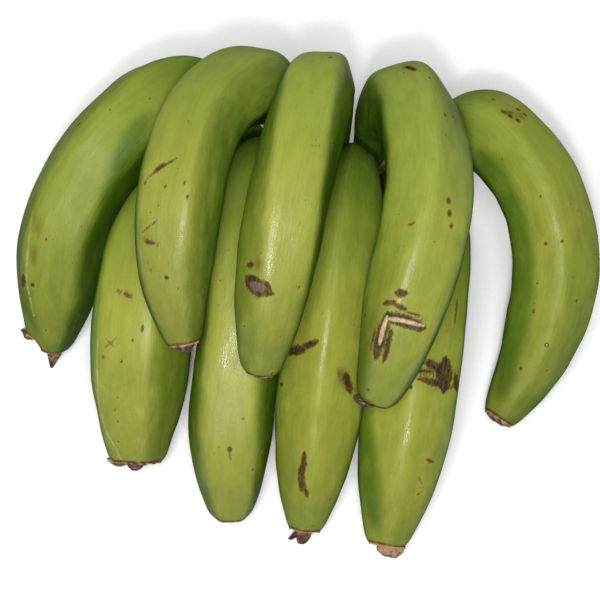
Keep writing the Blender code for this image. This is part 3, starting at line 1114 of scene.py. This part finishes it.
def mottle_group() -> bpy.types.NodeTree:
    """Plant tissue's own unevenness: soft clouds and fine fibres along the third axis.

    Takes a place and the two scales, and gives clouds and fibres of about nought to one.
    """
    nodes, given = new_group("plant_mottle", ("Cloud Scale", "Fibre Scale"), ("Clouds", "Fibres"))
    clouds = nodes.noise(given["Place"], Grain(given["Cloud Scale"], detail=4.0, rough=0.55))
    fibres = nodes.noise(given["Place"], Grain(given["Fibre Scale"], rough=0.6, along=0.06))
    nodes.add("NodeGroupOutput", None, Clouds=nodes.step(clouds, 0.3, 0.7),
              Fibres=nodes.step(fibres, 0.28, 0.72))
    return nodes.tree


def speck_group() -> bpy.types.NodeTree:
    """Small round flecks: the cells of a jittered lattice, of which only some keep their fleck.

    Takes a place, a scale, a size and a rarity, and gives a mask that is one inside a fleck.
    """
    nodes, given = new_group("skin_specks", ("Scale", "Size", "Rarity"), ("Mask",))
    cells = nodes.add("ShaderNodeTexVoronoi", {"feature": "F1"}, Vector=given["Place"], Scale=given["Scale"])
    uneven = nodes.scaled(nodes.noise(given["Place"], Grain(900.0, detail=2.0)), 0.25, -0.125)
    distance = nodes.math("ADD", cells.outputs["Distance"], uneven)
    draw = nodes.add("ShaderNodeSeparateColor", None, Color=cells.outputs["Color"])
    kept = nodes.math("GREATER_THAN", draw.outputs["Red"], given["Rarity"])
    inside = nodes.math("SUBTRACT", nodes.times(given["Size"], draw.outputs["Green"]), distance)
    nodes.add("NodeGroupOutput", None, Mask=nodes.times(nodes.step(inside, 0.0, 0.05), kept))
    return nodes.tree


def scar_group() -> bpy.types.NodeTree:
    """A ragged, uneven edge for a drawn mark: its inside distance plus fine noise.

    Takes a place, the distance in millimetres and how ragged the edge is, and gives a mask, its dark
    core, and a wide halo round it.
    """
    nodes, given = new_group("scar_edge", ("Inside", "Ragged"), ("Mask", "Core", "Halo"))
    coarse = nodes.noise(given["Place"], Grain(520.0, detail=4.0, rough=0.7))
    fine = nodes.noise(given["Place"], Grain(2400.0, rough=0.7, along=0.4))
    wander = nodes.math("ADD", nodes.times(coarse, 0.6), nodes.times(fine, 0.4))
    pushed = nodes.scaled(nodes.math("SUBTRACT", wander, 0.5), given["Ragged"], given["Inside"])
    nodes.add("NodeGroupOutput", None, Mask=nodes.step(pushed, -0.35, 0.4), Core=nodes.step(pushed, 0.1, 1.0),
              Halo=nodes.step(pushed, -1.9, 0.2))
    return nodes.tree


@dataclass(frozen=True)
class Groups:
    """The shader groups that the finishes share, and how each is used."""

    mottle: bpy.types.NodeTree
    specks: bpy.types.NodeTree
    scar: bpy.types.NodeTree

    @staticmethod
    def made() -> "Groups":
        """Build each group once."""
        return Groups(mottle_group(), speck_group(), scar_group())

    def mottled(self, nodes: Nodes, place: object, cloud_scale: float,
                fibre_scale: float) -> tuple[Socket, Socket]:
        """Clouds and fibres over a place."""
        node = nodes.add("ShaderNodeGroup", {"node_tree": self.mottle}, Place=place, Cloud_Scale=cloud_scale,
                         Fibre_Scale=fibre_scale)
        return node.outputs["Clouds"], node.outputs["Fibres"]

    def flecked(self, nodes: Nodes, place: object, flecks: Flecks) -> Socket:
        """A mask of scattered flecks, as strong as they show."""
        node = nodes.add("ShaderNodeGroup", {"node_tree": self.specks}, Place=place, Scale=flecks.scale,
                         Size=flecks.size, Rarity=flecks.rarity)
        return nodes.times(node.outputs["Mask"], flecks.strength)

    def scarred(self, nodes: Nodes, kind: MarkKind, ragged: float) -> bpy.types.Node:
        """The masks of one kind of drawn mark."""
        return nodes.add("ShaderNodeGroup", {"node_tree": self.scar}, Place=nodes.vector("rod"),
                         Inside=nodes.value(kind.value), Ragged=ragged)


def blank_material(name: str) -> tuple[bpy.types.Material, Nodes, bpy.types.Node]:
    """A material with its shader, and a helper for its nodes."""
    material = bpy.data.materials.new(name)
    material.use_nodes = True
    shader = material.node_tree.nodes["Principled BSDF"]
    return material, Nodes(material.node_tree), shader


@dataclass(frozen=True)
class SkinFinish:
    """Waxy unripe skin: olive on top, darker greens at the sides, neck and tip that are mostly painted shade,
    with scars and a brown rim.
    """

    olive: tuple = colour(137, 141, 52)
    unripe: tuple = colour(125, 139, 51)
    # The greens stand for the neck's and tip's own green, and for painted shade on faces turned from the
    # lamps and in the shade stripes
    green: tuple = colour(63, 92, 12)
    # The darkest green is painted shade only: toward the neck and on faces turned down
    painted_shade_green: tuple = colour(40, 66, 6)
    yellow: tuple = colour(142, 132, 52)
    # Pale: scuffs and pale spots, and along ridges partly a painted highlight
    pale: tuple = colour(152, 156, 90)
    smudge: tuple = colour(90, 76, 28)
    rust: tuple = colour(84, 56, 22)
    black: tuple = colour(32, 21, 14)
    beige: tuple = colour(190, 168, 132)
    grey: tuple = colour(112, 96, 82)
    roughness: float = 0.47
    cloud_scale: float = 75.0
    fibre_scale: float = 900.0
    blotch_grain: Grain = Grain(240.0, detail=4.0, rough=0.6, along=0.45)
    light_grain: Grain = Grain(1400.0, rough=0.75)
    pepper_grain: Grain = Grain(900.0, detail=4.0, rough=0.8, along=0.6)
    rim_grain: Grain = Grain(300.0)
    bloom_grain: Grain = Grain(75.0, rough=0.6, along=0.6)
    pale_mark_grain: Grain = Grain(500.0)
    crack_grain: Grain = Grain(900.0, detail=4.0, rough=0.7, along=0.35)
    flake_grain: Grain = Grain(620.0, detail=5.0, rough=0.8, along=0.5)
    ripple_grain: Grain = Grain(330.0, rough=0.6, along=0.55)
    pore_grain: Grain = Grain(1500.0, detail=2.0, rough=0.6)
    rust_flecks: tuple[Flecks, ...] = (Flecks(150.0, size=0.16, rarity=0.79, strength=0.75),
                                       Flecks(430.0, size=0.19, rarity=0.82, strength=0.55))
    smudge_flecks: Flecks = Flecks(270.0, size=0.17, rarity=0.74, strength=0.45)
    thin_edge: float = 1.6
    crusty_edge: float = 4.2
    relief_depth: float = 0.00028

    def body_colour(self, nodes: Nodes, clouds: object, fibres: object) -> Socket:
        """Skin colour before any mark: olive where the skin faces up, painted shade in darker greens
        elsewhere, with blotches and bands.

        Args:
            nodes: Helper for the skin's nodes.
            clouds: Soft clouds of nought to one.
            fibres: Fine fibres of nought to one.

        Returns:
            The colour.
        """
        rod, share, top = nodes.vector("rod"), nodes.value("share"), nodes.value("top")
        blotch = nodes.step(nodes.noise(rod, self.blotch_grain), 0.3, 0.7)
        # Painted light and shade: faces turned up take the olive, faces turned away the darker green
        painted_light_facing_up = nodes.step(nodes.scaled(clouds, 0.05, nodes.scaled(blotch, 0.04, top)), 0.60, 1.02)
        # Toward the neck the skin goes to the darker green, partly its own green and partly painted shade;
        # the tip turns somewhat greener
        middle = nodes.times(nodes.value("middle"), nodes.step(share, 1.35, 0.85))
        crown_tone = nodes.mix(nodes.value("ripeness"), self.unripe, self.olive)
        tone = nodes.mix(nodes.times(painted_light_facing_up, middle), self.green, crown_tone)
        # Painted shade: darkest green toward the neck and on faces turned down, away from the lamps
        shaded = nodes.larger(nodes.step(share, 0.30, 0.02, 0.0, 0.45), nodes.step(top, 0.64, 0.33))
        tone = nodes.mix(shaded, tone, self.painted_shade_green)
        # Painted shade: the drawn stripes turn faces that lie away from the lamps a darker green
        painted_shade_stripes = nodes.step(nodes.value("shade"), -3.8, 3.0, 0.0, 0.8)
        tone = nodes.mix(painted_shade_stripes, tone, self.green)
        tinge = nodes.times(nodes.step(clouds, 0.45, 1.0), nodes.step(blotch, 0.3, 1.0, 0.0, 0.14))
        tone = nodes.mix(tinge, tone, self.yellow)
        # Lighter along each ridge: pale scuffing, partly a painted highlight on the ridges
        line = nodes.times(nodes.value("ridge"), nodes.step(fibres, 0.2, 0.8, 0.0, 0.12))
        tone = nodes.mix(line, tone, self.pale)
        speckle = nodes.noise(rod, self.light_grain)
        light = nodes.scaled(speckle, 0.20, nodes.scaled(fibres, 0.07, 0.86))
        light = nodes.times(light, nodes.scaled(blotch, 0.10, 0.95))
        # Painted shade: the skin grows darker toward the tip
        light = nodes.times(light, nodes.step(share, 0.66, 1.0, 1.0, 0.76))
        # Painted light and shade: each fruit's brightness factor
        light = nodes.times(light, nodes.value("painted_light_and_shade"))
        grey = nodes.add("ShaderNodeCombineColor", None, Red=light, Green=light, Blue=light)
        return nodes.mix(1.0, tone, grey.outputs["Color"], "MULTIPLY")

    def rusty(self, nodes: Nodes, groups: Groups) -> Socket:
        """A mask of what is rusty brown: peppered patches, flecks, and the rim where the flower sat."""
        rod = nodes.vector("rod")
        grains = nodes.step(nodes.noise(rod, self.pepper_grain), 0.47, 0.57)
        pepper = nodes.times(nodes.step(nodes.value("pepper"), -1.0, 1.4), grains)
        rim = nodes.times(nodes.step(nodes.value("tip_distance"), 1.3, 0.3),
                          nodes.step(nodes.noise(rod, self.rim_grain), 0.3, 0.6, 0.25, 1.0))
        mask = nodes.times(pepper, 0.85)
        for flecks in self.rust_flecks:
            mask = nodes.larger(mask, groups.flecked(nodes, rod, flecks))
        return nodes.larger(mask, rim)

    def gloss(self, nodes: Nodes, shader: bpy.types.Node, worn: object) -> None:
        """Set the wax: patchy, brightest where the fruit's shine is, gone at the edges and on worn spots.

        Args:
            nodes: Helper for the skin's nodes.
            shader: The skin's shader.
            worn: One where a mark has worn the wax off.
        """
        bloom = nodes.step(nodes.noise(nodes.vector("rod"), self.bloom_grain), 0.48, 0.62)
        edge = nodes.add("ShaderNodeLayerWeight", None, Blend=0.5).outputs["Facing"]
        lit = nodes.times(nodes.step(edge, 0.80, 0.30), nodes.value("shine"))
        wax = nodes.times(nodes.scaled(bloom, 0.38, 0.12), nodes.math("SUBTRACT", 1.0, worn))
        sheen = nodes.times(nodes.step(edge, 0.75, 0.15, 0.02, 0.36), nodes.math("SQRT", nodes.value("wax")))
        nodes.wire(shader, Roughness=nodes.scaled(worn, 0.3, nodes.scaled(bloom, -0.08, self.roughness)),
                   Coat_Weight=nodes.times(wax, lit), Coat_Roughness=0.11, IOR=1.45, Specular_IOR_Level=sheen)

    def build(self, groups: Groups) -> bpy.types.Material:
        """Make the material.

        Args:
            groups: The shared shader groups.

        Returns:
            The skin's material.
        """
        material, nodes, shader = blank_material("banana_skin")
        rod = nodes.vector("rod")
        clouds, fibres = groups.mottled(nodes, rod, self.cloud_scale, self.fibre_scale)
        tone = self.body_colour(nodes, clouds, fibres)
        dark = groups.scarred(nodes, MarkKind.DARK, self.thin_edge).outputs
        scab = groups.scarred(nodes, MarkKind.SCAB, self.crusty_edge).outputs
        cork = groups.scarred(nodes, MarkKind.CORK, self.thin_edge).outputs["Mask"]
        ash = groups.scarred(nodes, MarkKind.GREY, self.thin_edge).outputs["Mask"]
        halo, core, mark = (nodes.larger(dark[mask], scab[mask]) for mask in ("Halo", "Core", "Mask"))
        # Pale marks: scuffs, a knob, and on the ridges partly a painted highlight
        pale_mark_mask = nodes.times(nodes.step(nodes.value("pale"), -0.6, 0.4),
                            nodes.step(nodes.noise(rod, self.pale_mark_grain), 0.35, 0.6, 0.25, 0.9))
        patch = nodes.times(nodes.step(nodes.value("smudge"), -2.4, 1.6),
                            nodes.step(clouds, 0.1, 0.8, 0.3, 0.75))
        rusty = self.rusty(nodes, groups)
        cracks = nodes.step(nodes.noise(rod, self.crack_grain), 0.36, 0.56)
        flakes = nodes.step(nodes.noise(rod, self.flake_grain), 0.36, 0.60)
        dusty = nodes.scaled(cracks, 0.35, 0.60)
        charred = nodes.mix(nodes.times(core, nodes.scaled(flakes, 0.6, 0.4)), self.rust, self.black)
        layers = ((nodes.times(halo, 0.25), self.yellow), (pale_mark_mask, self.pale), (patch, self.smudge),
                  (groups.flecked(nodes, rod, self.smudge_flecks), self.smudge), (rusty, self.rust),
                  (nodes.times(mark, nodes.scaled(flakes, 0.22, 0.75)), charred),
                  (nodes.times(ash, 0.8), nodes.mix(dusty, self.rust, self.grey)),
                  (cork, nodes.mix(dusty, self.smudge, self.beige)))
        for mask, over in layers:
            tone = nodes.mix(mask, tone, over)
        worn = nodes.larger(nodes.larger(mark, cork), rusty)
        self.gloss(nodes, shader, worn)
        ripple = nodes.noise(rod, self.ripple_grain)
        height = nodes.scaled(nodes.noise(rod, self.pore_grain), 0.35, nodes.times(ripple, 0.9))
        height = nodes.scaled(fibres, 0.12, height)
        height = nodes.scaled(worn, nodes.scaled(cracks, 1.2, -0.9), height)
        normal = nodes.relief(height, self.relief_depth, 0.75)
        nodes.wire(shader, Base_Color=tone, Normal=normal, Coat_Normal=normal)
        return material


@dataclass(frozen=True)
class CrownFinish:
    """Crown skin: dull green tissue with brown fibres, and a dried brown cut face underneath."""

    green: tuple = colour(122, 134, 52)
    tan: tuple = colour(150, 122, 72)
    brown: tuple = colour(70, 48, 28)
    cut: tuple = colour(134, 104, 66)
    cloud_scale: float = 90.0
    fibre_scale: float = 600.0
    ring_grain: Grain = Grain(420.0, detail=5.0, rough=0.7)
    flecks: Flecks = Flecks(240.0, size=0.3, rarity=0.7, strength=0.7)

    def build(self, groups: Groups) -> bpy.types.Material:
        """Make the material.

        Args:
            groups: The shared shader groups.

        Returns:
            The crown's material.
        """
        material, nodes, shader = blank_material("crown_tissue")
        place = nodes.place()
        clouds, fibres = groups.mottled(nodes, place, self.cloud_scale, self.fibre_scale)
        height = nodes.add("ShaderNodeSeparateXYZ", None, Vector=place).outputs["Z"]
        aged = nodes.step(nodes.scaled(clouds, -0.006, height), 0.009, -0.002)
        tone = nodes.mix(nodes.step(clouds, 0.2, 0.9, 0.0, 0.5), self.green, self.tan)
        tone = nodes.mix(aged, tone, self.brown)
        tone = nodes.mix(nodes.step(fibres, 0.55, 1.0, 0.0, 0.4), tone, self.brown)
        rings = nodes.noise(nodes.stretched(place, (1.0, 1.6, 1.0)), self.ring_grain)
        cut_face = nodes.mix(nodes.step(rings, 0.4, 0.62), self.brown, self.cut)
        tone = nodes.mix(nodes.step(height, 0.0006, 0.0001), tone, cut_face)
        tone = nodes.mix(groups.flecked(nodes, place, self.flecks), tone, self.brown)
        nodes.wire(shader, Base_Color=tone, Roughness=nodes.scaled(clouds, 0.15, 0.55),
                   Normal=nodes.relief(nodes.scaled(rings, 0.6, fibres), 0.0006, 0.8))
        return material


@dataclass(frozen=True)
class DriedFinish:
    """Dead flower tissue: tan at the foot and dark brown to black at the point, matt and cracked."""

    tan: tuple = colour(168, 132, 96)
    brown: tuple = colour(84, 56, 36)
    black: tuple = colour(36, 26, 20)
    cloud_scale: float = 420.0
    fibre_scale: float = 1400.0
    crack_grain: Grain = Grain(1500.0, detail=5.0, rough=0.75)
    flecks: Flecks = Flecks(900.0, size=0.35, rarity=0.5, strength=0.6)

    def build(self, groups: Groups) -> bpy.types.Material:
        """Make the material.

        Args:
            groups: The shared shader groups.

        Returns:
            The dried ends' material.
        """
        material, nodes, shader = blank_material("dried_flower_tissue")
        place = nodes.place()
        clouds, fibres = groups.mottled(nodes, place, self.cloud_scale, self.fibre_scale)
        age = nodes.math("SUBTRACT", nodes.math("ADD", clouds, nodes.value("height")), nodes.value("tan"))
        tone = nodes.mix(nodes.step(age, -0.15, 0.55), self.tan, self.brown)
        tone = nodes.mix(nodes.step(age, 0.5, 1.2), tone, self.black)
        tone = nodes.mix(groups.flecked(nodes, place, self.flecks), tone, self.black)
        cracks = nodes.noise(place, self.crack_grain)
        nodes.wire(shader, Base_Color=tone, Roughness=nodes.scaled(clouds, 0.15, 0.72),
                   Normal=nodes.relief(nodes.math("ADD", cracks, fibres), 0.0005, 0.9))
        return material


@dataclass(frozen=True)
class SoftLight:
    """A square light: its place and side in metres, its power in watts, and whether gloss mirrors it."""

    name: str
    place: tuple[float, float, float]
    side: float
    power: float
    mirrored: bool = True


@dataclass
class Studio:
    """Camera at the photograph's angle, pale floor, and soft light close to the camera."""

    shift: np.ndarray
    view: View = View()
    lights: tuple[SoftLight, ...] = (
        SoftLight("key", (-0.03, -0.55, 0.84), 0.06, 3.6),
        SoftLight("soft", (-0.06, -0.44, 0.97), 0.42, 10.1),
        SoftLight("window", (-0.2, 1.0, 0.7), 0.6, 4.2, mirrored=False),
    )
    lit_height: float = 0.05
    surroundings: float = 0.20
    floor_reach: float = 3.0
    floor_gap: float = 0.0002
    floor_grain: Grain = Grain(600.0)
    floor_tones: tuple = (colour(237, 237, 236), colour(240, 240, 239))

    def aim(self, item: bpy.types.Object, place: np.ndarray, target: np.ndarray) -> None:
        """Put an object at a place, looking at a target along its own -Z."""
        item.location = Vector(place)
        item.rotation_euler = Vector(target - place).to_track_quat("-Z", "Y").to_euler()

    def camera(self) -> None:
        """Make the camera and set it as the scene's."""
        data = bpy.data.cameras.new("camera")
        data.lens = self.view.lens
        data.sensor_width = self.view.sensor
        camera = shown("camera", data)
        target = self.shift * MM
        self.aim(camera, target + self.view.towards_camera() * self.view.distance * MM, target)
        bpy.context.scene.camera = camera

    def light(self, setting: SoftLight) -> None:
        """Add one light that looks at the hand."""
        data = bpy.data.lights.new(setting.name, "AREA")
        data.size = setting.side
        data.energy = setting.power
        light = shown(setting.name, data)
        light.visible_glossy = setting.mirrored
        self.aim(light, np.array(setting.place), self.shift * MM + np.array([0.0, 0.0, self.lit_height]))

    def world(self) -> None:
        """Fill the surroundings with even, slightly warm white."""
        world = bpy.data.worlds.new("surroundings")
        world.use_nodes = True
        background = world.node_tree.nodes["Background"]
        background.inputs["Color"].default_value = (1.0, 0.99, 0.97, 1.0)
        background.inputs["Strength"].default_value = self.surroundings
        bpy.context.scene.world = world

    def floor(self) -> None:
        """A wide pale floor with a faint tooth."""
        mesh = bpy.data.meshes.new("floor")
        reach = self.floor_reach
        corners = [(-reach, -reach, 0.0), (reach, -reach, 0.0), (reach, reach, 0.0), (-reach, reach, 0.0)]
        mesh.from_pydata(corners, [], [(0, 1, 2, 3)])
        floor = shown("floor", mesh)
        floor.location = (0.0, 0.0, -self.floor_gap)
        material, nodes, shader = blank_material("floor_paper")
        grain = nodes.step(nodes.noise(nodes.place(), self.floor_grain), 0.3, 0.7)
        tone = nodes.mix(grain, *self.floor_tones)
        nodes.wire(shader, Base_Color=tone, Roughness=0.9)
        mesh.materials.append(material)

    def build(self) -> None:
        """Set up camera, lights, surroundings and floor."""
        self.camera()
        self.world()
        for setting in self.lights:
            self.light(setting)
        self.floor()
        bpy.context.scene.view_settings.view_transform = "Standard"


def log_piece(piece: bpy.types.Object) -> None:
    """Log one piece with its number of faces."""
    LOG.info("%s: %d faces", piece.name, len(piece.data.polygons))


def main() -> None:
    """Build the finishes, the fruits, their dried ends, the crown and the studio."""
    logging.basicConfig(level=logging.INFO, format="%(name)s: %(message)s")
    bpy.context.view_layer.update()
    shift = frame_shift()
    groups = Groups.made()
    skin = SkinFinish().build(groups)
    dried = DriedFinish().build(groups)
    for name, fruit in FRUITS.items():
        body = FruitBody(name, fruit, shift)
        log_piece(body.build(skin))
        log_piece(FlowerEndPiece(body).build(dried))
    log_piece(Crown(shift).build(CrownFinish().build(groups)))
    Studio(shift).build()


if __name__ == "__main__":
    main()
